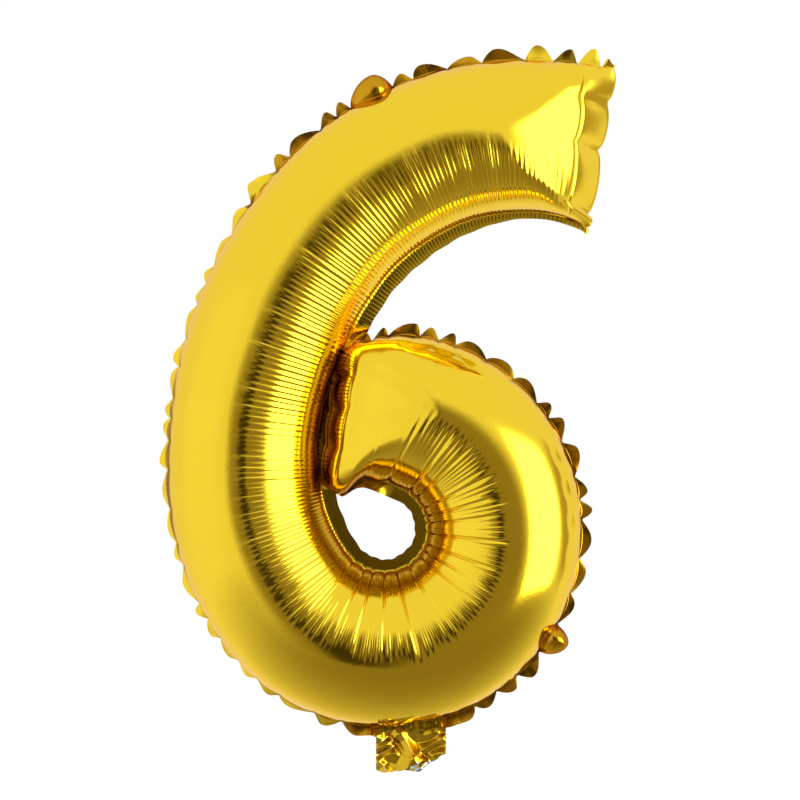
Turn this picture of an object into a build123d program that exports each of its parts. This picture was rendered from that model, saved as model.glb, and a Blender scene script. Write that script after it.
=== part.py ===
"""Foil number balloon, the digit 6, inflated with air.

Two foil panels lie face to face and are welded along a flat seam flange. Between the seams they
stand off each other as one round tube: the arm, the stem and the bowl of the digit. Under the bowl
the seam leaves a neck for the filling valve, a flat sleeve of two thin films that reaches up into
the tube, and below the neck all four films go on as a short tail that folds at the neck.

Frame: +X to the digit's right, +Y to its back, +Z up. The origin is the middle of the tail's fold.
All lengths are in millimetres and all angles in degrees.
"""

from build123d import *

import os
from bisect import bisect
from math import acos, atan2, ceil, cos, degrees, radians, sin, sqrt

# ---- Films
panel_film = 0.3
valve_film = 0.2
film_clearance = 0.05  # between a valve film and the panel film that lies on it

# ---- Inflated tube: an ellipse, wider than deep
tube_half_width = 38.0
tube_half_depth = 36.0

# ---- Stroke of the digit: tangent arcs, all curling the same way
arm_radius = 128.0
arm_turn = 69.5
stem_radius = 191.0
stem_turn = 38.0
hip_radius = 110.0
hip_turn = 38.0
bowl_radius = 61.0
bowl_lower_turn = 52.0  # from the hip to the lowest point of the bowl
bowl_end_gap = 10.0  # from the stem's wall to the middle of the bowl's end seam

# ---- Closed ends of the tube
arm_end_length = 32.0  # over which the arm flattens to its end seam
arm_end_widening = 1.07  # width of the end seam over the width of the tube
arm_end_slant = 8.0
bowl_end_length = 28.0
bowl_end_widening = 0.75
bowl_end_slant = -27.0  # turns the end seam parallel to the stem
bowl_slant_length = 60.0

# ---- Seam flange
outer_flange = 5.0
inner_flange = 8.0
arm_end_flange = 4.0
bowl_end_flange = 4.0
weld_overlap = 1.0  # the flange's film reaches this far into the tube's wall
least_depth = 0.02  # half depth of the hollow where the two films meet at an end

# ---- Neck and tail
neck_offset = 13.3  # from the lowest point of the bowl to the middle of the neck
neck_length = 3.0  # from the flange's edge to the fold
neck_width = 35.0
neck_root = 10.0  # how far the neck's films run up past the flange's edge
fold_gap_above = 0.85  # from the fold to the neck's films
fold_gap_below = 0.1  # from the fold to the tail's films
tail_flat_length = 3.0  # below the fold the tail stays flat this far
tail_length = 16.0
mouth_width = 34.0
mouth_bow = 3.9  # how far each tail flap bows out at the mouth
mouth_slack = 0.35  # by which a valve film bows out less than its flap

# ---- Filling valve
valve_width = 24.0
valve_slot_side = 0.5  # room beside the valve in its slot
valve_reach = 60.0  # height of its inner end above the fold
valve_corner = 6.0

straight_down = -90.0  # bearing

# ---- Steps of the loft
end_steps = (0.5, 4, 9, 16, 26, 38, 52, 66, 80, 90)  # quarter circle of each closed end
station_pitch = 10.0

slot_half_width = valve_width / 2 + valve_slot_side
slot_half_depth = valve_film + film_clearance
channel_half_width = slot_half_width + panel_film
channel_half_depth = slot_half_depth + panel_film
valve_bow = mouth_bow - mouth_slack


def heading(angle):
    """Unit vector at this angle from +X."""
    return Vector(cos(radians(angle)), sin(radians(angle)))


def bowl_upper_turn(bowl_centre, stem_centre):
    """How far the bowl turns from its lowest point until its end is the gap away from the stem."""
    offset = stem_centre - bowl_centre
    reach = stem_radius - tube_half_width - bowl_end_gap
    cosine = (bowl_radius**2 + offset.length**2 - reach**2) / (2 * bowl_radius * offset.length)
    end_bearing = degrees(atan2(offset.Y, offset.X) + acos(cosine))
    return end_bearing - straight_down


def tube_arcs():
    """Centre line of the stroke in its own plane, as arcs from the arm's end to the bowl's end."""
    lowest = Vector(-neck_offset, neck_length + outer_flange + tube_half_width)
    arcs = []
    joint = lowest
    bearing = straight_down
    climb = (
        (bowl_radius, bowl_lower_turn),
        (hip_radius, hip_turn),
        (stem_radius, stem_turn),
        (arm_radius, arm_turn),
    )
    for radius, turn in climb:
        centre = joint - heading(bearing) * radius
        bearing -= turn
        arcs.insert(0, (centre, radius, bearing, turn))
        joint = centre + heading(bearing) * radius
    bowl_centre = lowest + Vector(0, bowl_radius)
    stem_centre = arcs[1][0]
    upper_turn = bowl_upper_turn(bowl_centre, stem_centre)
    arcs.append((bowl_centre, bowl_radius, straight_down, upper_turn))
    return arcs


stroke = tube_arcs()
arc_lengths = [radius * radians(turn) for _, radius, _, turn in stroke]
arc_starts = [sum(arc_lengths[:i]) for i in range(len(stroke))]
stroke_length = sum(arc_lengths)


def rise(distance, length):
    """How far a closed end has opened, from 0 at its seam to 1 where it meets the tube."""
    share = min(max(distance / length, 0.0), 1.0)
    return sqrt(1 - (1 - share) ** 2)


def station(distance):
    """Tube section this far along the stroke: centre, bearing from the arc's centre, half width."""
    reached = sum(start <= distance for start in arc_starts)
    centre, radius, bearing, _ = stroke[reached - 1]
    bearing += degrees((distance - arc_starts[reached - 1]) / radius)
    middle = centre + heading(bearing) * radius

    left = stroke_length - distance
    bearing += arm_end_slant * max(0.0, 1 - distance / arm_end_length)
    bearing += bowl_end_slant * max(0.0, 1 - left / bowl_slant_length)
    arm_share = 1 - rise(distance, arm_end_length)
    bowl_share = 1 - rise(left, bowl_end_length)
    half_width = tube_half_width
    half_width *= 1 + (arm_end_widening - 1) * arm_share
    half_width *= 1 + (bowl_end_widening - 1) * bowl_share
    return middle, bearing, half_width


def half_depth(distance, inset):
    """Half depth of the tube this far along, inside a film as thick as the inset."""
    opened = rise(distance - inset, arm_end_length)
    opened *= rise(stroke_length - distance - inset, bowl_end_length)
    return max(tube_half_depth * opened - inset, least_depth)


def station_distances():
    """Closely spaced at the two closed ends, evenly spaced between them."""
    arm_end = [arm_end_length * (1 - cos(radians(step))) for step in end_steps]
    bowl_end = [stroke_length - bowl_end_length * (1 - cos(radians(step))) for step in end_steps]
    bowl_end.reverse()
    gap = bowl_end[0] - arm_end[-1]
    count = ceil(gap / station_pitch)
    middle = [arm_end[-1] + gap * i / count for i in range(1, count)]
    return arm_end + middle + bowl_end


def section_plane(middle, bearing):
    """Plane across the tube, with its first axis pointing out of the curl."""
    out = heading(bearing)
    return Plane(
        origin=(middle.X, 0, middle.Y),
        x_dir=(out.X, 0, out.Y),
        z_dir=(-out.Y, 0, out.X),
    )


def wall_sections():
    """Half rings across the back panel's wall, all along the stroke."""
    sections = []
    for distance in station_distances():
        middle, bearing, half_width = station(distance)
        inner_width = half_width - panel_film
        inner_depth = half_depth(distance, panel_film)
        outer_depth = max(half_depth(distance, 0), inner_depth + panel_film)
        with BuildSketch(section_plane(middle, bearing)) as section:
            with BuildLine():
                EllipticalCenterArc((0, 0), half_width, outer_depth, arc_size=180)
                EllipticalCenterArc((0, 0), inner_width, inner_depth, arc_size=180)
                Line((inner_width, 0), (half_width, 0))
                Line((-inner_width, 0), (-half_width, 0))
            make_face()
        sections.append(section.sketch)
    return sections


def tube_side(distances, side, reach):
    """Points beside the tube in the seam plane, the reach outside its wall. Side 1 is the outside."""
    points = []
    for distance in distances:
        middle, bearing, half_width = station(distance)
        points.append(middle + heading(bearing) * side * (half_width + reach))
    return points


def flange_outline():
    """The welded film in the seam plane, open where the tube is."""
    distances = station_distances()
    # Three stretches, because the flange of the bowl's end runs into the flange of the stem.
    stem_end, lowest = (bisect(distances, arc_starts[arc]) for arc in (2, 4))
    stretches = (
        distances[: stem_end + 1],
        distances[stem_end : lowest + 1],
        distances[lowest:],
    )
    ends = ((0.0, arm_end_flange), (stroke_length, bowl_end_flange))
    neck_height = neck_length + neck_root - fold_gap_above
    with BuildSketch(Plane.XZ) as outline:
        for stretch in stretches:
            with BuildLine():
                outside = Spline(tube_side(stretch, 1, outer_flange))
                inside = Spline(tube_side(stretch, -1, inner_flange))
                Line(outside @ 0, inside @ 0)
                Line(outside @ 1, inside @ 1)
            make_face()
        for distance, end_flange in ends:
            middle, bearing, half_width = station(distance)
            centre = middle + heading(bearing) * (outer_flange - inner_flange) / 2
            with Locations(Location((centre.X, centre.Y, 0), (0, 0, bearing))):
                Rectangle(2 * half_width + outer_flange + inner_flange, 2 * end_flange)
        with Locations((0, fold_gap_above + neck_height / 2)):
            Rectangle(neck_width, neck_height)
        with BuildLine():
            outside = Spline(tube_side(distances, 1, -weld_overlap))
            inside = Spline(tube_side(distances, -1, -weld_overlap))
            Line(outside @ 0, inside @ 0)
            Line(outside @ 1, inside @ 1)
        make_face(mode=Mode.SUBTRACT)
    return outline.sketch


def make_panel(side):
    """One foil panel: its wall of the tube, its film of the flange and its half of the neck."""
    top = neck_length + neck_root
    height = top - fold_gap_above
    corner = (Align.CENTER, Align.MIN, Align.MIN)
    with BuildPart() as panel:
        loft(wall_sections(), ruled=True)
        extrude(flange_outline(), amount=-panel_film)
        with Locations((0, 0, fold_gap_above)):
            Box(2 * channel_half_width, channel_half_depth, height, align=corner)
            Box(2 * slot_half_width, slot_half_depth, height, align=corner, mode=Mode.SUBTRACT)
        if side < 0:
            mirror(about=Plane.XZ, mode=Mode.REPLACE)
    return panel


def make_valve_film(side):
    """One film of the valve's sleeve inside the balloon. The side is -1 in front, 1 behind."""
    with BuildPart() as film:
        with BuildSketch(Plane.XZ):
            with Locations((0, (valve_reach + fold_gap_above) / 2)):
                Rectangle(valve_width, valve_reach - fold_gap_above)
        # Plane.XZ faces the front, so the front film grows along its normal.
        extrude(amount=-side * valve_film)
        top_edges = film.edges().filter_by(Axis.Y).group_by(Axis.Z)[-1]
        fillet(top_edges, radius=valve_corner)
    return film


def across(start, bow):
    """Line, or shallow arc bulging to the front by the bow, to the mirrored point."""
    end = (-start.X, start.Y)
    if bow == 0:
        return Line(start, end)
    return ThreePointArc(start, (0, start.Y - bow), end)


def flap_section(plane, half_width, bow):
    """Section of the front tail flap: flat side seams, and a channel over the valve between them."""
    shoulder = slot_half_width - film_clearance
    with BuildSketch(plane) as section:
        with BuildLine():
            for depth in (0, panel_film):
                rim = Polyline(
                    (half_width, -depth),
                    (slot_half_width, -depth),
                    (shoulder, -slot_half_depth - depth),
                )
                across(rim @ 1, bow)
                mirror(rim, about=Plane.YZ)
            for side in (-1, 1):
                Line((side * half_width, 0), (side * half_width, -panel_film))
        make_face()
    return section.sketch


def valve_section(plane, bow):
    """Section of the front valve film in the tail."""
    half_width = valve_width / 2
    with BuildSketch(plane) as section:
        with BuildLine():
            for depth in (0, valve_film):
                across(Vector(half_width, -depth), bow)
            for side in (-1, 1):
                Line((side * half_width, 0), (side * half_width, -valve_film))
        make_face()
    return section.sketch


def tail_planes():
    """The tail's section planes: at the fold, where it starts to bow, and at the mouth."""
    return [Plane.XY.offset(-depth) for depth in (fold_gap_below, tail_flat_length, tail_length)]


def make_tail_flap(side):
    """Tail end of one panel: flat at the fold, bowed out at the mouth."""
    fold, knee, mouth = tail_planes()
    with BuildPart() as flap:
        flat = [flap_section(plane, neck_width / 2, 0) for plane in (fold, knee)]
        loft([*flat, flap_section(mouth, mouth_width / 2, mouth_bow)], ruled=True)
        if side > 0:
            mirror(about=Plane.XZ, mode=Mode.REPLACE)
    return flap


def make_tail_valve_film(side):
    """Tail end of one valve film: it lies on its flap, and the mouth opens between the two."""
    fold, knee, mouth = tail_planes()
    with BuildPart() as film:
        flat = [valve_section(plane, 0) for plane in (fold, knee)]
        loft([*flat, valve_section(mouth, valve_bow)], ruled=True)
        if side > 0:
            mirror(about=Plane.XZ, mode=Mode.REPLACE)
    return film


def save(piece, name):
    piece.part.label = name
    export_step(piece.part, f"parts/{name}.step")


os.makedirs("parts", exist_ok=True)

save(make_panel(-1), "front_panel")
save(make_panel(1), "back_panel")
save(make_valve_film(-1), "valve_front_film")
save(make_valve_film(1), "valve_back_film")
save(make_tail_flap(-1), "tail_front_flap")
save(make_tail_flap(1), "tail_back_flap")
save(make_tail_valve_film(-1), "tail_valve_front_film")
save(make_tail_valve_film(1), "tail_valve_back_film")
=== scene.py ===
"""Foil number balloon, digit 6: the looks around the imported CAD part.

The front and back films are grids that run along the digit's stroke. Across each film lie the outer
seam flange, the half tube and the inner seam flange. Pleats, creases, seam scallops and puffed ends
are heights above the smooth tube. A place along the stroke is its distance from the arm's end seam.
Film shapes are worked out in millimetres and angles in radians, and the meshes are in metres.
"""

from math import pi, radians

import bpy
import numpy as np
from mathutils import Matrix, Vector


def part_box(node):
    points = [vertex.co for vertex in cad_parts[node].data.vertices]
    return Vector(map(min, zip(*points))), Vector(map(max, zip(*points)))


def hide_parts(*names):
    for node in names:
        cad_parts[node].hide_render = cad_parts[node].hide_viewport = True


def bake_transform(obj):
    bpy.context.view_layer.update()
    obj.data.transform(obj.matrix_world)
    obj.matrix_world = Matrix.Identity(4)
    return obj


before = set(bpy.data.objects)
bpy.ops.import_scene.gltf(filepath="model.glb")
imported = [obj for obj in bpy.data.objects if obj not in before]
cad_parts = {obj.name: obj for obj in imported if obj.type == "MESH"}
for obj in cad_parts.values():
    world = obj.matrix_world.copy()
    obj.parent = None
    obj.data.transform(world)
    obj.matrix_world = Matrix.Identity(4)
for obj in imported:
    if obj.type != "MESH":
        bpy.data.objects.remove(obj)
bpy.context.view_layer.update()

MM = 0.001

# ---- Sizes read from the frame, in millimetres
panel_low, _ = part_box("front_panel")
flap_low, flap_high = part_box("tail_front_flap")
_, sleeve_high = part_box("valve_front_film")
tube_half_depth = -panel_low.y / MM
neck_half_width = flap_high.x / MM
tail_bottom = flap_low.z / MM
sleeve_half_width = sleeve_high.x / MM
sleeve_top = sleeve_high.z / MM

# ---- The stroke of the digit, as in the CAD part: tangent arcs, all curling the same way
tube_half_width = 38.0
neck_offset = 13.3
seam_height = 8.0  # lowest point of the outer seam
bowl_radius = 61.0
bowl_end_gap = 10.0
climb = (  # radius and turn of each arc, from the lowest point up to the arm's end
    (bowl_radius, radians(52.0)),
    (110.0, radians(38.0)),
    (191.0, radians(38.0)),
    (128.0, radians(69.5)),
)
arm_end_widening = 1.07
arm_end_slant = radians(8.0)
arm_end_length = 32.0
bowl_end_widening = 0.75
bowl_end_slant = radians(-27.0)
bowl_end_length = 28.0
bowl_slant_length = 60.0


def unit(bearing):
    return np.stack((np.cos(bearing), np.sin(bearing)), axis=-1)


def stroke_arcs():
    """Centres, radii, first bearings and lengths of the arcs, from the arm's end to the bowl's end."""
    lowest = np.array((-neck_offset, seam_height + tube_half_width))
    bearing = -pi / 2
    joint = lowest
    arcs = []
    for radius, turn in climb:
        centre = joint - unit(bearing) * radius
        bearing = bearing - turn
        arcs.insert(0, (centre, radius, bearing, radius * turn))
        joint = centre + unit(bearing) * radius
    bowl_centre = lowest + np.array((0, bowl_radius))
    stem_centre, stem_radius = arcs[1][0], arcs[1][1]
    offset = stem_centre - bowl_centre
    across = np.hypot(*offset)
    reach = stem_radius - tube_half_width - bowl_end_gap
    swing = np.arccos((bowl_radius**2 + across**2 - reach**2) / (2 * bowl_radius * across))
    turn = np.arctan2(offset[1], offset[0]) + swing + pi / 2
    arcs.append((bowl_centre, bowl_radius, -pi / 2, bowl_radius * turn))
    return [np.array(part) for part in zip(*arcs)]


arc_centres, arc_radii, arc_bearings, arc_lengths = stroke_arcs()
arc_starts = np.cumsum(arc_lengths) - arc_lengths
stroke_length = arc_lengths.sum()
lowest_distance = arc_starts[-1]

# ---- Places along the stroke
arm_corner = 38.0  # the arm's outer corner reaches to here
rolled_lobes = (106.0, 473.0)  # where a lobe of the seam has rolled up forward
stem_start = 150.0
crumpled_place = 157.0  # middle of the crumpled stretch of the seam
crumpled_length = 13.0
groove_start = 183.0  # the groove between the stem and the bowl's end
groove_end = 300.0
crinkle_shade_start = 185.0  # the crinkled band beside the inner seam, painted a darker gold as shade, starts here
first_crease = 300.0
bowl_start = 330.0  # from here on long creases take the place of the pleats
bowl_top_start = 470.0
bowl_top_end = 608.0


def rise(distance, length):
    """Quarter circle from 0 at the start to 1 at the length."""
    share = np.clip(distance / length, 0, 1)
    return np.sqrt(1 - (1 - share) ** 2)


def smooth(value):
    """Smooth step from 0 to 1 as the value goes from 0 to 1."""
    share = np.clip(value, 0, 1)
    return share * share * (3 - 2 * share)


def bell(value, width):
    return np.exp(-((value / width) ** 2))


def triangle_wave(value):
    """Zigzag between -1 and 1 with period 1."""
    return 4 * np.abs(value - np.floor(value + 0.5)) - 1


def section_frames(distance):
    """Middle, outward direction, direction along the stroke and half width of each section."""
    inside = np.clip(distance, 0, stroke_length)
    arc = np.clip(np.searchsorted(arc_starts, inside, side="right") - 1, 0, len(arc_starts) - 1)
    bearing = arc_bearings[arc] + (inside - arc_starts[arc]) / arc_radii[arc]
    middle = arc_centres[arc] + unit(bearing) * arc_radii[arc][:, None]
    left = stroke_length - inside
    bearing = bearing + arm_end_slant * np.clip(1 - inside / arm_end_length, 0, 1)
    bearing = bearing + bowl_end_slant * np.clip(1 - left / bowl_slant_length, 0, 1)
    half_width = tube_half_width * (
        1 + (arm_end_widening - 1) * (1 - rise(inside, arm_end_length))
    )
    half_width = half_width * (1 + (bowl_end_widening - 1) * (1 - rise(left, bowl_end_length)))
    out = unit(bearing)
    along = unit(bearing + pi / 2)
    middle = middle + along * (distance - inside)[:, None]
    return middle, out, along, half_width


# ---- Grid of a panel film: its columns are closer at the two ends and over the tail
end_flange = 0.8
column_pitch = 0.55
end_pitch = 0.2
end_stretch = 14.0
tail_pitch = 0.3


def tail_range():
    """The stretch of the stroke whose outer seam lies over the tail."""
    outer_radius = bowl_radius + tube_half_width
    sines = np.array((neck_offset - neck_half_width, neck_offset + neck_half_width)) / outer_radius
    return lowest_distance + bowl_radius * np.arcsin(sines)


tail_start, tail_end = tail_range()


def column_distances():
    stretches = (
        (-end_flange, 0.0, end_pitch * 2),
        (0.0, end_stretch, end_pitch),
        (end_stretch, tail_start, column_pitch),
        (tail_start, tail_end, tail_pitch),
        (tail_end, stroke_length - end_stretch, column_pitch),
        (stroke_length - end_stretch, stroke_length, end_pitch),
        (stroke_length, stroke_length + end_flange, end_pitch * 2),
    )
    runs = [
        np.linspace(low, high, int(np.ceil((high - low) / pitch)), endpoint=False)
        for low, high, pitch in stretches
    ]
    return np.concatenate((*runs, [stroke_length + end_flange]))


columns = column_distances()
flange_rows = 9
tube_rows = 44
inner_rows = 6
outer_flange = 6.2
inner_flange = 7.6
film_gap = 0.1  # half the space between the two welded films

# ---- Seam scallops: the outer flange is drawn into lobes between notches
scallop_random = np.random.default_rng(6)
lobe_widths = (7.5, 17.0)  # smallest and largest
bowl_lobe_widths = (5.5, 13.0)
rolled_widening = 2.0  # to each side
rolled_reach = 6.0
rolled_curl = -4.6
rolled_lean = 0.25
back_lean = 0.85  # of the flange down the stem and round to the bottom of the bowl
crumpled_lean = 0.5
notch_lean = 0.2
notch_reach = 0.10  # width of the flange in a notch, as a share of the outer flange's
tail_reach = 0.95  # the same beside the tail
seam_bulge = 0.9


def scallop_notches():
    """Places of the notches, from before the arm's end to past the bowl's end."""
    places = [-7.0]
    while places[-1] < stroke_length + 20:
        in_bowl = places[-1] > lowest_distance - 90
        widths = bowl_lobe_widths if in_bowl else lobe_widths
        places.append(places[-1] + scallop_random.uniform(*widths))
    places = np.array(places)
    for place in rolled_lobes:
        first = np.searchsorted(places, place) - 1
        places[first : first + 2] += (-rolled_widening, rolled_widening)
    return places


notches = scallop_notches()
lobe_count = len(notches)
notch_side = scallop_random.choice((-1.0, 1.0), lobe_count)
lobe_peak = scallop_random.uniform(0.25, 0.75, lobe_count)
lobe_flanks = scallop_random.uniform(0.5, 1.7, (2, lobe_count))
lobe_reach = scallop_random.uniform(0.55, 1.05, lobe_count)
lobe_lean = scallop_random.uniform(-0.14, 0.14, lobe_count)
lobe_curl = scallop_random.uniform(-0.3, 0.15, lobe_count)

# Smaller and more pointed on the stem, larger round the arm's corner
on_stem = (notches > stem_start) & (notches < lowest_distance - 20)
lobe_flanks[:, on_stem] += 0.5
lobe_reach[on_stem] *= 0.8
lobe_reach[notches < arm_corner] *= 1.6

for place in rolled_lobes:
    rolled = np.searchsorted(notches, place) - 1
    lobe_reach[rolled] = rolled_reach
    lobe_curl[rolled] = rolled_curl
    lobe_lean[rolled] = rolled_lean
    lobe_flanks[:, rolled] = 0.5  # rounded


def between(edges, distance):
    """Which interval of the edges each distance is in, and its share of the way through it."""
    index = np.clip(np.searchsorted(edges, distance, side="right") - 1, 0, len(edges) - 2)
    share = (distance - edges[index]) / (edges[index + 1] - edges[index])
    return index, np.clip(share, 0, 1)


def from_edges(edges, distance):
    """Index of the nearest edge, the distance to it, and the share of the way between two edges."""
    index, share = between(edges, distance)
    near = np.minimum(share, 1 - share) * (edges[index + 1] - edges[index])
    return index + (share > 0.5), near, share


def scallops(distance):
    """Lean of the outer flange at the seam, its further curl, its reach, and the seam's bulge."""
    index, share = between(notches, distance)
    nearest = index + (share > 0.5)
    peak = lobe_peak[index]
    past_peak = share > peak
    side = np.where(past_peak, (1 - share) / (1 - peak), share / peak)
    lobe = np.sin(pi / 2 * side) ** lobe_flanks[past_peak.astype(int), index]
    crumpled = bell(distance - crumpled_place, crumpled_length)

    leaning_back = smooth((distance - stem_start + 10) / 30)
    leaning_back = leaning_back * (1 - smooth((distance - lowest_distance + 25) / 20))
    lean = lobe_lean[index] + back_lean * leaning_back * (1 - crumpled)
    lean = lean + crumpled_lean * crumpled * triangle_wave(share)
    lean = lean + notch_lean * notch_side[nearest] * (1 - lobe)

    reach = (notch_reach + (1 - notch_reach) * lobe * lobe_reach[index]) * (1 + 0.5 * crumpled)
    beside_tail = bell(distance - tail_start, 5) + bell(distance - tail_end, 5)
    reach = reach + (tail_reach - reach) * np.minimum(beside_tail, 1)
    reach = reach * (0.2 + 0.8 * smooth(distance / 5))

    bulge = seam_bulge * (np.sin(pi * share) ** 0.7 - 0.7)
    return lean, lobe_curl[index], reach, bulge


# ---- Heights over the smooth tube
pleats_start = 4.0
pleat_widths = (2.0, 3.4)  # smallest and largest
pleat_height = 0.50
crease_spacings = (9, 21)
crease_depth = 0.75
crease_rim_height = 0.35
puff_height = 0.25  # between two creases
bead_height = 0.8  # between two creases, beside the inner seam
crinkle_height = 0.22
notch_depth = 0.8
notch_length = 13.0
fan_height = 0.09
fan_pitch = 1.5
fold_place = 21.0  # from the outer seam
fold_depth = 0.8
flame_height = 0.5
gather_depth = 1.3
gather_length = 18.0
pocket_depth = 0.9
pocket_rib_height = 0.16
end_pleat_height = 0.24
slow_wave_height = 0.16
quick_wave_height = 0.10
crest_ridge_height = 0.22
end_crease_depth = 0.55


def arm_skew(distance):
    """How far the crest of the arm's end lies toward the inner seam, as a share of the half width."""
    return 0.24 * smooth((85 - distance) / 55)


def ripple(value, pitch):
    return np.sin(value * 2 * pi / pitch)


def make_pleats(random):
    """Edges, strengths, first angles and tilts of the fine pleats on the inner side of the curl."""
    edges = [pleats_start]
    while edges[-1] < stroke_length:
        edges.append(edges[-1] + random.uniform(*pleat_widths))
    count = len(edges)
    steps = np.arange(count)
    group = 0.5 + 0.5 * np.sin(steps * 0.9 + 3 * np.sin(steps * 0.23))
    strength = random.uniform(0.6, 1.0, count) * (0.7 + 0.3 * group)
    start = random.uniform(-0.05, 0.04, count) - 0.04 * group
    tilt = random.uniform(0.75, 1.35, count)
    return np.array(edges), strength, start, tilt


def pleat_heights(distance, past_crest, in_bowl, random):
    """Fine pleats across the inner side. The bowl has them only beside its crest and its seam."""
    edges, strength, start, tilt = make_pleats(random)
    index, share = between(edges, distance)
    ends = smooth((distance - 12) / 16) * smooth((stroke_length - 30 - distance) / 25)
    beside_crest = bell(past_crest - 0.10, 0.34)
    beside_seam = smooth((past_crest - 0.85) / 0.25)
    pleated = 1 - in_bowl * (1 - beside_crest) * (1 - beside_seam)
    start = start[index] + arm_skew(distance)
    window = smooth((past_crest - start) / 0.10) * ends * (0.12 + 0.88 * pleated)
    pleat = 1 - np.abs(2 * share ** tilt[index] - 1) ** 1.4
    return pleat_height * pleat * strength[index] * window


def make_creases(random):
    """Places, strengths and first angles of the long creases across the inner side of the bowl."""
    places = [first_crease]
    while places[-1] < stroke_length + 10:
        places.append(places[-1] + random.uniform(*crease_spacings))
    count = len(places)
    return np.array(places), random.uniform(0.45, 1.0, count), random.uniform(-0.25, 0.12, count)


def crease_heights(distance, inward, past_crest, random):
    """Long creases that radiate from the counter, puffs between them, and beads beside the seam."""
    places, strength, start = make_creases(random)
    nearest, near, share = from_edges(places, distance)
    reach = smooth((past_crest - start[nearest]) / 0.35) * strength[nearest]
    crease = crease_depth * np.exp(-near / 0.8) - crease_rim_height * bell(near - 1.6, 0.9)
    puff = puff_height * np.sin(pi * share) ** 0.8 * smooth(past_crest / 0.8)
    crinkle = triangle_wave(distance / 4.3 + 0.6 * triangle_wave(inward / 7 + share))
    beads = bead_height * np.sin(pi * share) ** 0.6 + crinkle_height * crinkle
    return puff - reach * crease + beads * smooth((inward - 100) / 8)


def notch_heights(distance, inward):
    """A short valley in from each notch of the outer seam, with a fan of finer ones beside it."""
    _, near, _ = from_edges(notches, distance)
    valley = notch_depth * np.exp(-near / 0.9) * smooth(1 - inward / notch_length)
    fan = fan_height * ripple(distance, fan_pitch) * bell(near, 2.5) * smooth(1 - inward / 8)
    return fan - valley


def bowl_top_heights(distance, inward):
    """A soft fold beside the outer seam over the top of the bowl."""
    fold = bell(inward - fold_place - 0.7 * ripple(distance, 11), 1.5)
    ends = smooth((distance - bowl_top_start) / 50) * smooth((bowl_top_end - distance) / 8)
    return -fold_depth * fold * ends


def neck_heights(distance, inward):
    """Crinkles and gathers that run up from the neck."""
    neck_middle = (tail_start + tail_end) / 2
    at_neck = smooth(1.6 - abs(distance - neck_middle) / 10)
    flames = triangle_wave(distance / 2.7 + 0.35 * triangle_wave(inward / 9)) * at_neck
    height = flame_height * flames * smooth(1 - inward / 11)
    fade = smooth(1 - inward / gather_length)
    for gather, width in ((tail_start, 1.3), (neck_middle + 1.5, 1.8), (tail_end, 1.3)):
        height = height - gather_depth * np.exp(-abs(distance - gather) / width) * fade
    return height


def arm_end_heights(distance, inward):
    """A ribbed pocket beside the arm's outer corner, and short pleats beside the end's ridge."""
    pocket = bell(distance - 17, 6) * bell(inward - 22, 8)
    ribs = pocket_rib_height * ripple(distance * 0.8 + inward * 0.6, 3.1)
    beside_ridge = bell(distance - 12.5, 3.2) * smooth((inward - 20) / 5) * smooth((62 - inward) / 12)
    return pocket * (ribs - pocket_depth) + end_pleat_height * ripple(inward, 2.6) * beside_ridge


def wave_heights(distance, angle, random):
    """Faint, long waves over the whole film."""
    first, second, third = random.uniform(0, 2 * pi, 3)
    slow = np.sin(distance / 17 + first + 1.3 * np.sin(angle * 2 + second))
    quick = np.sin(distance / 9.5 + third - angle * 1.7)
    return slow_wave_height * slow + quick_wave_height * quick


def along_line(distance, inward, start, end, width):
    """1 on the line between two places on the film, down to 0 beside it."""
    span = np.subtract(end, start)
    share = ((distance - start[0]) * span[0] + (inward - start[1]) * span[1]) / (span @ span)
    share = np.clip(share, 0, 1)
    aside = np.hypot(distance - start[0] - share * span[0], inward - start[1] - share * span[1])
    return bell(aside, width)


def front_heights(distance, inward):
    """A fine ridge along the arm's crest and a soft crease across the bowl's end."""
    crest_ridge = along_line(distance, inward, (86, 56.5), (103, 57), 0.55)
    end_crease = along_line(distance, inward, (611, 38), (578, 58), 1.8)
    return crest_ridge_height * crest_ridge - end_crease_depth * end_crease


def tube_heights(distance, angle, side, random):
    """Height of the film over the smooth tube. The angle is 0 at the outer seam, pi at the inner."""
    past_crest = angle - pi / 2
    inward = angle * tube_half_width  # from the outer seam, along the film
    in_bowl = smooth((distance - bowl_start) / 60) * smooth((stroke_length - 18 - distance) / 20)
    height = pleat_heights(distance, past_crest, in_bowl, random)
    height = height + in_bowl * crease_heights(distance, inward, past_crest, random)
    height = height + wave_heights(distance, angle, random)
    for local_heights in (notch_heights, bowl_top_heights, neck_heights, arm_end_heights):
        height = height + local_heights(distance, inward)
    if side < 0:
        height = height + front_heights(distance, inward)
    return height


# ---- Closed ends: the tube slopes down to a ridge with a flatter section, then puffs to the end seam
arm_end = dict(
    puff_edges=np.array((-1.0, -0.84, -0.04, 0.56, 1.0)),  # across the end, in half widths
    ridge=13.0,  # distance from the end seam
    slope_start=54.0,  # distance from the end seam, in the middle of the end
    ridge_share=0.50,  # height of the ridge over the height of the tube
    push=0.0,  # how far the end is pushed out
)
bowl_end = dict(
    puff_edges=np.array((-1.0, -0.50, 0.05, 0.55, 1.0)),
    ridge=6.0,
    slope_start=50.0,
    ridge_share=0.55,
    push=6.5,
)
corner_droop = 8.0  # of the bowl's end, over its inner corner


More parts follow.
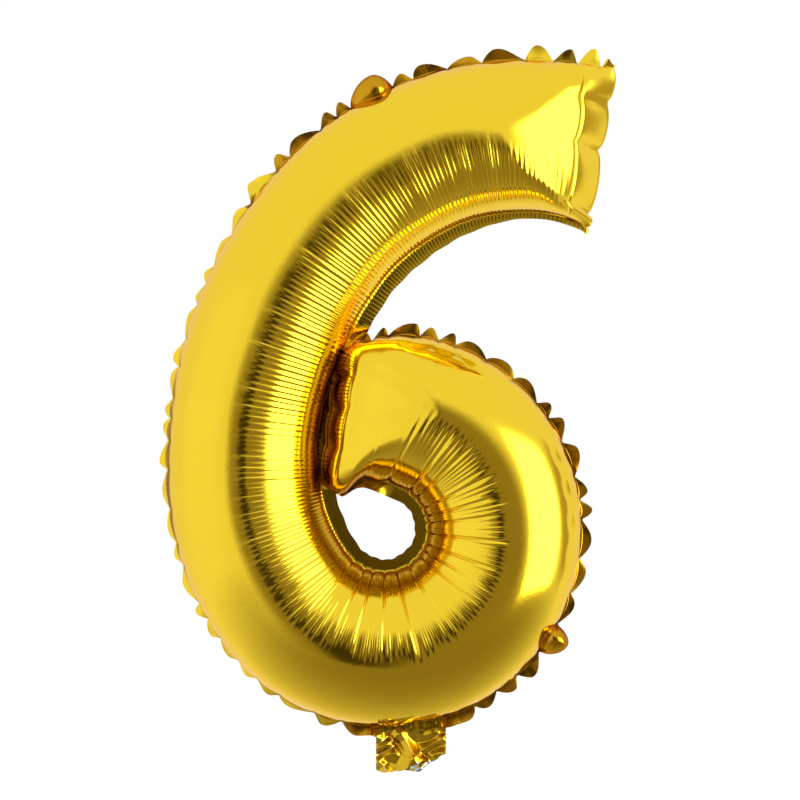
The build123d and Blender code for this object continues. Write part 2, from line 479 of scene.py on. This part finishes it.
def closed_end(distance, across, puff_edges, ridge, slope_start, ridge_share, push):
    """Height of a closed end over the tube's, its section's power, and its bulge along the stroke."""
    slope_start = slope_start - 0.45 * slope_start * np.sqrt(across**2 + 0.01)
    slope = np.clip((distance - ridge) / (slope_start - ridge), 0, 1)
    height = ridge_share + (1 - ridge_share) * (1 - (1 - slope) ** 1.35)
    power = 2 + 1.5 * (1 - smooth(slope))
    _, share = between(puff_edges, across)
    puff = np.sin(pi * share) ** 0.4
    rim = 1 - (1 - np.clip(distance / ridge, 0, 1)) ** 1.12
    notch = 1 - 0.25 * (1 - puff) * smooth(1.1 - distance / ridge)
    crease = 1 - 0.04 * bell(distance - ridge, 0.8)
    bulge = (push + 0.3 * ridge * (puff - 0.7)) * smooth(1 - distance / (2.2 * ridge))
    return height * rim * notch * crease, power, bulge


def grid_faces(rows, cols, first=0):
    """Quads of a grid whose vertices are stored row by row."""
    corner = (np.arange(rows - 1)[:, None] * cols + np.arange(cols - 1)).ravel() + first
    return np.stack((corner, corner + 1, corner + cols + 1, corner + cols), axis=1)


def grid_normals(points):
    """Unit normals of a grid of points."""
    by_row = np.gradient(points, axis=0)
    by_column = np.gradient(points, axis=1)
    normals = np.cross(by_row, by_column)
    return normals / np.maximum(np.linalg.norm(normals, axis=-1, keepdims=True), 1e-9)


def outer_flange_section(seam_offset, lean, curl, reach):
    """Offsets and depths of the outer flange's rows, from its edge to the seam."""
    share = np.linspace(1, 0, flange_rows, endpoint=False)[:, None]
    mean_lean = lean + curl * share / 2
    chord = outer_flange * share * reach * np.sinc(curl * share / (2 * pi))
    return seam_offset + chord * np.cos(mean_lean), chord * np.sin(mean_lean)


def inner_flange_section(seam_offset, from_arm, from_bowl, corner):
    """Offsets and depths of the inner flange's rows, from the seam to its edge."""
    share = np.linspace(0, 1, inner_rows + 1)[1:, None]
    width = inner_flange * (1 + 0.06 * np.sin(columns / 5.3) * np.sin(columns / 11.0))
    width = width * (1 - 0.25 * smooth(1.4 - from_bowl / 32)) * (1 - 0.75 * corner)
    width = width * (1 - 0.55 * smooth(1.3 - from_arm / 90))
    # Pressed back in the groove between the stem and the bowl's end, rolled forward beside the counter
    lean = 0.75 * smooth((columns - groove_start) / 14) * smooth((groove_end - columns) / 14)
    lean = lean - 0.8 * smooth((48 - from_bowl) / 25) * smooth(from_bowl / 6)
    ribs = 0.09 * ripple(columns, 2.6) * smooth((200 - columns) / 30)
    return seam_offset - width * share * np.cos(lean), share * (width * np.sin(lean) + ribs)


def film_points(side, random):
    """Grid of one panel film. Rows go from the outer flange's edge over the tube to the inner edge."""
    middle, out, along, half_width = section_frames(columns)
    lean, curl, reach, bulge = scallops(columns)
    angle = np.linspace(0, pi, tube_rows)[:, None]
    across = np.cos(angle) * np.ones_like(columns)
    from_arm = np.maximum(columns, 0)
    from_bowl = np.maximum(stroke_length - columns, 0)
    beyond = np.maximum(-columns, 0) + np.maximum(columns - stroke_length, 0)
    # The bowl's end droops over its inner corner, beside the tip of the counter.
    corner = bell(from_bowl - 8, 9)
    droop = corner_droop * corner

    outer_offset, outer_y = outer_flange_section(half_width + bulge, lean, curl, reach)
    inner_offset, inner_y = inner_flange_section(-half_width - droop, from_arm, from_bowl, corner)

    arm_height, arm_power, arm_bulge = closed_end(from_arm, across, **arm_end)
    bowl_height, bowl_power, bowl_bulge = closed_end(from_bowl, across, **bowl_end)
    power = np.maximum(arm_power, bowl_power)
    skewed = across + arm_skew(from_arm) * (1 - across**2)
    high = (1 - np.abs(skewed) ** power) ** (1 / power)
    high = tube_half_depth * high * arm_height * bowl_height
    seam_fade = smooth(1 - angle * tube_half_width / 16)
    offset = half_width * across + bulge * seam_fade - droop * smooth((angle - 1.7) / 1.3)

    offset = np.concatenate((outer_offset, offset, inner_offset))
    y = np.concatenate((outer_y, side * high, inner_y))
    shift = np.concatenate((np.zeros_like(outer_y), bowl_bulge - arm_bulge, np.zeros_like(inner_y)))
    plan = middle + out * offset[..., None] + along * shift[..., None]
    points = np.stack((plan[..., 0], y, plan[..., 1]), axis=-1)
    # Past the end seams the flange leans back.
    points[..., 1] += 0.94 * beyond

    # Heights go along the film's own outward normal.
    normals = grid_normals(points) * side
    height = np.full(offset.shape, film_gap)
    on_tube = slice(flange_rows, flange_rows + tube_rows)
    height[on_tube] += tube_heights(columns, angle, side, random)
    return points + normals * height[..., None]


# ---- Tail: the flange goes on below the seam and ends in a crumpled, open mouth
tail_rows = 46
sleeve_rows = 120
sleeve_columns = 41
lining_gap = 0.1  # between a flap's outside and its silvery lining
mouth_half_width = 12.5
mouth_depth = 3.0
front_hem = ((-17.5, -14.0), (-15.0, -15.3), (-4.0, -14.2), (3.5, -10.0), (12.5, -9.0), (17.5, -4.5))
back_hem = ((-17.5, -14.2), (4.0, -14.4), (8.0, -11.0), (17.5, -5.5))
sleeve_hem = ((-12.0, -13.0), (4.5, -14.6), (8.0, -11.2), (12.0, -9.6))
tail_folds = (  # height, slant in x and in z, pitch, and start as a share of the pitch
    (1.9, 0.93, 0.37, 15.0, 0.15),
    (0.9, 0.35, -0.94, 8.5, 0.45),
    (0.30, 0.80, 0.60, 5.7, 0.10),
)


def crumple(x, z):
    """Depth of the crumples that all the films of the tail share."""
    swirl_x = x + 2.4 * np.sin(0.30 * z + 0.22 * x + 1.0)
    swirl_z = z + 2.6 * np.sin(0.27 * x - 0.15 * z)
    depth = 0.0
    for height, slant_x, slant_z, pitch, start in tail_folds:
        depth = depth + height * triangle_wave((slant_x * swirl_x + slant_z * swirl_z) / pitch + start)
    return depth * smooth((seam_height - 0.5 - z) / 6)


def mouth_bow(x, z):
    """How far the mouth's films stand off the middle of the tail."""
    return mouth_depth * np.clip(1 - (x / mouth_half_width) ** 2, 0, 1) * smooth(-z / 13)


def tail_points(side, seam, lining):
    """Grid that hangs from the given stretch of the seam row, and lies that much further in."""
    share = np.linspace(0, 1, tail_rows)[:, None]
    hem = np.array(front_hem if side < 0 else back_hem)
    target_x = np.linspace(-neck_half_width, neck_half_width, len(seam))
    x = seam[:, 0] + (target_x - seam[:, 0]) * smooth(share * 2.5)
    bottom = np.interp(x, hem[:, 0], hem[:, 1]) + 0.25 * triangle_wave(x / 3.7 + 0.4 * side)
    z = seam[:, 2] * (1 - share) + bottom * share
    x = x * (1 - 0.3 * lining)
    y = crumple(x, z) + side * (film_gap + 0.35 * smooth(share * 5) - lining + mouth_bow(x, z))
    return np.stack((x, y, z), axis=-1)


def sleeve_points(side):
    """Grid of one valve film, from its hem in the mouth up to its top."""
    share = np.linspace(0, 1, sleeve_rows)[:, None]
    x = np.linspace(-sleeve_half_width, sleeve_half_width, sleeve_columns)[None, :]
    hem = np.array(sleeve_hem)
    z = sleeve_top * share + np.interp(x, hem[:, 0], hem[:, 1]) * (1 - share)
    x = np.broadcast_to(x, z.shape)
    y = crumple(x, z) + side * (0.06 + 0.85 * mouth_bow(x, z))
    return np.stack((x, y, z), axis=-1)


def make_mesh(name, grids, materials):
    """One mesh from several grids, each with its kept quads, its materials' indices and its flip."""
    vertices, faces, slots = [], [], []
    first = 0
    for points, kept, slot, flip in grids:
        quads = grid_faces(*points.shape[:2], first)
        slot = np.broadcast_to(slot, (points.shape[0] - 1, points.shape[1] - 1)).ravel()
        if kept is not None:
            quads = quads[kept.ravel()]
            slot = slot[kept.ravel()]
        faces.append(quads[:, ::-1] if flip else quads)
        slots.append(slot)
        vertices.append(points.reshape(-1, 3) * MM)
        first += points.shape[0] * points.shape[1]
    mesh = bpy.data.meshes.new(name)
    mesh.from_pydata(np.concatenate(vertices).tolist(), [], np.concatenate(faces).tolist())
    for material in materials:
        mesh.materials.append(material)
    mesh.polygons.foreach_set("material_index", np.concatenate(slots))
    mesh.shade_smooth()
    mesh.update()
    piece = bpy.data.objects.new(name, mesh)
    bpy.context.scene.collection.objects.link(piece)
    return piece


# ---- The panel films with their tail flaps
gold_index, silver_index, flange_shade_index, crinkle_shade_index = range(4)
crinkle_shade_rows = 14  # the inner flange and the tube's last rows, painted a darker gold as shade
crinkle_shade_taper = 2.2  # the band widens by one row in this length


def flange_shaded(distance):
    """Where the outer flange is painted a browner gold: painted shade for the darker reflections among
    its crumpled lobes.
    """
    on_arm = (distance > arm_corner) & (distance < crumpled_place - 9)
    return on_arm | (distance > lowest_distance - 12)


def make_film(name, side, random):
    """One panel film with its tail flap, gold outside and silvery inside the mouth."""
    points = film_points(side, random)
    over_tail = (columns >= tail_start) & (columns <= tail_end)
    seam = points[flange_rows, over_tail]
    # Over the tail the flap takes the outer flange's place.
    kept = np.ones((points.shape[0] - 1, points.shape[1] - 1), bool)
    kept[:flange_rows, (columns[:-1] > tail_start + 2) & (columns[1:] < tail_end - 2)] = False
    look = np.full(kept.shape, gold_index)
    # Painted shade: the outer flange takes the browner gold where its lobes reflect darker
    look[:flange_rows, flange_shaded(columns[1:])] = flange_shade_index
    rows_from_edge = np.arange(crinkle_shade_rows)[::-1, None]
    in_band = columns[1:] > crinkle_shade_start + crinkle_shade_taper * rows_from_edge
    # Painted shade: the crinkled band beside the inner seam takes a darker gold for the dim reflections
    # of the hole's far wall
    look[-crinkle_shade_rows:][in_band] = crinkle_shade_index
    grids = (
        (points, kept, look, side > 0),
        (tail_points(side, seam, 0.0), None, crinkle_shade_index, side < 0),
        (tail_points(side, seam, lining_gap), None, silver_index, side > 0),
    )
    return make_mesh(name, grids, (gold, silver, flange_shade, crinkle_shade))


# ---- Materials
def principled(name):
    material = bpy.data.materials.new(name)
    material.use_nodes = True
    return material, material.node_tree.nodes, material.node_tree.links


def noise(material, scale, detail):
    """Output of a noise texture that lies in the object's own coordinates."""
    nodes, links = material.node_tree.nodes, material.node_tree.links
    place = nodes.new("ShaderNodeTexCoord")
    texture = nodes.new("ShaderNodeTexNoise")
    texture.inputs["Scale"].default_value = scale
    texture.inputs["Detail"].default_value = detail
    links.new(place.outputs["Object"], texture.inputs["Vector"])
    return texture.outputs["Fac"]


def foil_material(name, light, dark, grazing, roughness, coat):
    """Metallised film: tinted metal with faint cloudiness and a fine crinkle."""
    material, nodes, links = principled(name)
    shader = nodes["Principled BSDF"]
    shader.inputs["Metallic"].default_value = 1.0
    shader.inputs["Specular Tint"].default_value = grazing
    shader.inputs["Coat Weight"].default_value = coat
    shader.inputs["Coat Roughness"].default_value = 0.06
    cloud = noise(material, 28, 3)
    tint = nodes.new("ShaderNodeValToRGB")
    tint.color_ramp.elements[0].color = dark
    tint.color_ramp.elements[1].color = light
    links.new(cloud, tint.inputs["Fac"])
    links.new(tint.outputs["Color"], shader.inputs["Base Color"])
    gloss = nodes.new("ShaderNodeMapRange")
    gloss.inputs["To Min"].default_value = roughness * 0.8
    gloss.inputs["To Max"].default_value = roughness * 1.25
    links.new(cloud, gloss.inputs["Value"])
    links.new(gloss.outputs["Result"], shader.inputs["Roughness"])
    bump = nodes.new("ShaderNodeBump")
    bump.inputs["Strength"].default_value = 0.06
    bump.inputs["Distance"].default_value = 0.0004
    links.new(noise(material, 420, 4), bump.inputs["Height"])
    links.new(bump.outputs["Normal"], shader.inputs["Normal"])
    return material


white = (1, 1, 1, 1)
warm_edge = (0.92, 0.66, 0.22, 1)  # colour of the film at grazing angles
# Painted shade: darker grazing colour of the browner golds below
painted_shade_edge = (0.50, 0.25, 0.03, 1)
gold = foil_material(
    "gold_foil", (0.88, 0.62, 0.014, 1), (0.84, 0.58, 0.010, 1), warm_edge, roughness=0.12, coat=0.5
)
# Painted shade: a browner gold for the outer flange, in place of the darker reflections among its lobes
flange_shade = foil_material(
    "flange_shade_foil", (0.62, 0.33, 0.010, 1), (0.50, 0.25, 0.006, 1), painted_shade_edge, roughness=0.16, coat=0.1
)
# Painted shade: a darker gold for the crinkled band beside the inner seam, also used on the tail flap's
# outside
crinkle_shade = foil_material(
    "crinkle_shade_foil", (0.66, 0.43, 0.012, 1), (0.54, 0.34, 0.008, 1), painted_shade_edge, roughness=0.18, coat=0.2
)
silver = foil_material(
    "valve_film", (0.56, 0.62, 0.68, 1), (0.44, 0.50, 0.56, 1), white, roughness=0.18, coat=0.3
)


# ---- The object
def mount(piece, slot, *nodes):
    """The piece keeps its transform baked in and stands for these nodes, which are hidden."""
    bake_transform(piece)
    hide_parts(*nodes)


for word, side, seed in (("front", -1, 21), ("back", 1, 22)):
    film = make_film(f"{word}_film", side, np.random.default_rng(seed))
    mount(film, "gold_foil", f"{word}_panel", f"tail_{word}_flap")
    sleeve = make_mesh(f"valve_{word}_sheet", ((sleeve_points(side), None, 0, side > 0),), (silver,))
    mount(sleeve, "valve_film", f"valve_{word}_film", f"tail_valve_{word}_film")


# ---- Stage, in metres
object_middle = Vector((0, 0, 0.17))
floor_radius = 12.0
floor_drop = 0.60  # under the tail
camera_place = (-0.0055, -1.75, 0.1715)
camera_lens = 157  # in millimetres
flag_tint = (1.0, 0.82, 0.62, 1)


def emission_by_ray(tree, seen, unseen):
    """Strength for camera, glossy and transmission rays, and another for the rest."""
    path = tree.nodes.new("ShaderNodeLightPath")
    either = path.outputs["Is Camera Ray"]
    for ray in ("Is Glossy Ray", "Is Transmission Ray"):
        pick = tree.nodes.new("ShaderNodeMath")
        pick.operation = "MAXIMUM"
        tree.links.new(either, pick.inputs[0])
        tree.links.new(path.outputs[ray], pick.inputs[1])
        either = pick.outputs[0]
    mix = tree.nodes.new("ShaderNodeMapRange")
    mix.inputs["To Min"].default_value = unseen
    mix.inputs["To Max"].default_value = seen
    tree.links.new(either, mix.inputs["Value"])
    return mix.outputs["Result"]


def make_world():
    world = bpy.data.worlds.new("studio")
    world.use_nodes = True
    background = world.node_tree.nodes["Background"]
    background.inputs["Color"].default_value = white
    strength = emission_by_ray(world.node_tree, 1.0, 0.6)
    world.node_tree.links.new(strength, background.inputs["Strength"])
    bpy.context.scene.world = world


def make_floor():
    floor_height = tail_bottom * MM - floor_drop
    bpy.ops.mesh.primitive_circle_add(
        vertices=96, radius=floor_radius, fill_type="NGON", location=(0, 0, floor_height)
    )
    floor = bpy.context.object
    floor.name = "floor"
    material, nodes, links = principled("floor")
    shader = nodes["Principled BSDF"]
    shader.inputs["Base Color"].default_value = (0.8, 0.8, 0.8, 1)
    shader.inputs["Roughness"].default_value = 0.9
    shader.inputs["Emission Color"].default_value = white
    strength = emission_by_ray(material.node_tree, 0.5, 0.0)
    links.new(strength, shader.inputs["Emission Strength"])
    floor.data.materials.append(material)


def around(azimuth, elevation, distance):
    """Place seen from the object's middle: azimuth 0 is in front and 90 to the right."""
    turn, lift = radians(azimuth), radians(elevation)
    level = distance * np.cos(lift)
    height = distance * np.sin(lift) + object_middle.z
    return Vector((level * np.sin(turn), -level * np.cos(turn), height))


def aim(thing, axis, target=object_middle):
    thing.rotation_euler = (target - thing.location).to_track_quat(axis, "Y").to_euler()


def soft_mask(nodes, links, softness):
    """1 over the middle of a card two units wide, down to 0 at its edges, with rounded corners."""
    place = nodes.new("ShaderNodeTexCoord")
    square = nodes.new("ShaderNodeVectorMath")
    square.operation = "MULTIPLY"
    links.new(place.outputs["Object"], square.inputs[0])
    links.new(place.outputs["Object"], square.inputs[1])
    inside = nodes.new("ShaderNodeVectorMath")
    inside.operation = "SUBTRACT"
    inside.inputs[0].default_value = (1, 1, 1)
    links.new(square.outputs["Vector"], inside.inputs[1])
    sides = nodes.new("ShaderNodeSeparateXYZ")
    links.new(inside.outputs["Vector"], sides.inputs["Vector"])
    both = nodes.new("ShaderNodeMath")
    both.operation = "MULTIPLY"
    links.new(sides.outputs["X"], both.inputs[0])
    links.new(sides.outputs["Y"], both.inputs[1])
    edge = nodes.new("ShaderNodeMapRange")
    edge.interpolation_type = "SMOOTHSTEP"
    edge.inputs["From Max"].default_value = softness
    links.new(both.outputs["Value"], edge.inputs["Value"])
    return edge.outputs["Result"]


def make_card(name, place, width, height, strength, softness, target=object_middle):
    """Reflector, or a flag when its strength is under 1, which only reflections see."""
    bpy.ops.mesh.primitive_plane_add(size=2, location=place)
    card = bpy.context.object
    card.name = name
    card.scale = (width / 2, height / 2, 1)
    aim(card, "Z", target)
    material, nodes, links = principled(name)
    nodes.remove(nodes["Principled BSDF"])
    glow = nodes.new("ShaderNodeEmission")
    glow.inputs["Color"].default_value = flag_tint if strength < 1 else white
    glow.inputs["Strength"].default_value = strength
    clear = nodes.new("ShaderNodeBsdfTransparent")
    mix = nodes.new("ShaderNodeMixShader")
    links.new(soft_mask(nodes, links, softness), mix.inputs["Fac"])
    links.new(clear.outputs["BSDF"], mix.inputs[1])
    links.new(glow.outputs["Emission"], mix.inputs[2])
    links.new(mix.outputs["Shader"], nodes["Material Output"].inputs["Surface"])
    card.data.materials.append(material)
    card.visible_camera = False
    card.visible_diffuse = False
    card.visible_shadow = False


def make_lamp(name, place, size, watts):
    """Soft light for the floor. Reflections see the cards in its place."""
    light = bpy.data.lights.new(name, "AREA")
    light.size = size
    light.energy = watts
    lamp = bpy.data.objects.new(name, light)
    lamp.location = place
    lamp.visible_glossy = False
    aim(lamp, "-Z")
    bpy.context.scene.collection.objects.link(lamp)


def make_camera():
    data = bpy.data.cameras.new("camera")
    data.lens = camera_lens
    camera = bpy.data.objects.new("camera", data)
    camera.location = camera_place
    camera.rotation_euler = (radians(90), 0, 0)
    bpy.context.scene.collection.objects.link(camera)
    bpy.context.scene.camera = camera


under_place = Vector((0.3, -1.0, -0.55))
above_it = Vector((0.3, -1.0, 0))
cards = (
    # name, place, width, height, strength, softness of the edges
    ("softbox", around(59, -1, 1.70), 1.70, 2.00, 5.0, 0.45),
    ("front_core", around(-4, -10, 1.55), 0.42, 1.70, 0.04, 0.9),
    ("front_flag", around(4, -8, 1.60), 1.95, 2.15, 0.31, 0.75),
    ("low_flag", around(62, -38, 1.75), 1.60, 0.95, 0.16, 0.7),
    ("side_flag", around(99, 2, 1.75), 0.80, 1.90, 0.52, 0.8),
    ("left_softbox", around(-66, 2, 1.70), 2.60, 1.70, 1.08, 0.9),
    ("rim_flag", around(-152, -3, 1.75), 1.10, 0.70, 0.30, 0.9),
    ("back_flag", around(176, 4, 1.70), 1.90, 1.90, 0.40, 0.9),
    ("under_flag", under_place, 3.6, 3.6, 0.30, 1.0, above_it),
)

make_world()
make_floor()
for card in cards:
    make_card(*card)
make_lamp("key_lamp", around(-40, 50, 1.6), 1.0, 8)
make_camera()
bpy.context.scene.view_settings.view_transform = "Standard"
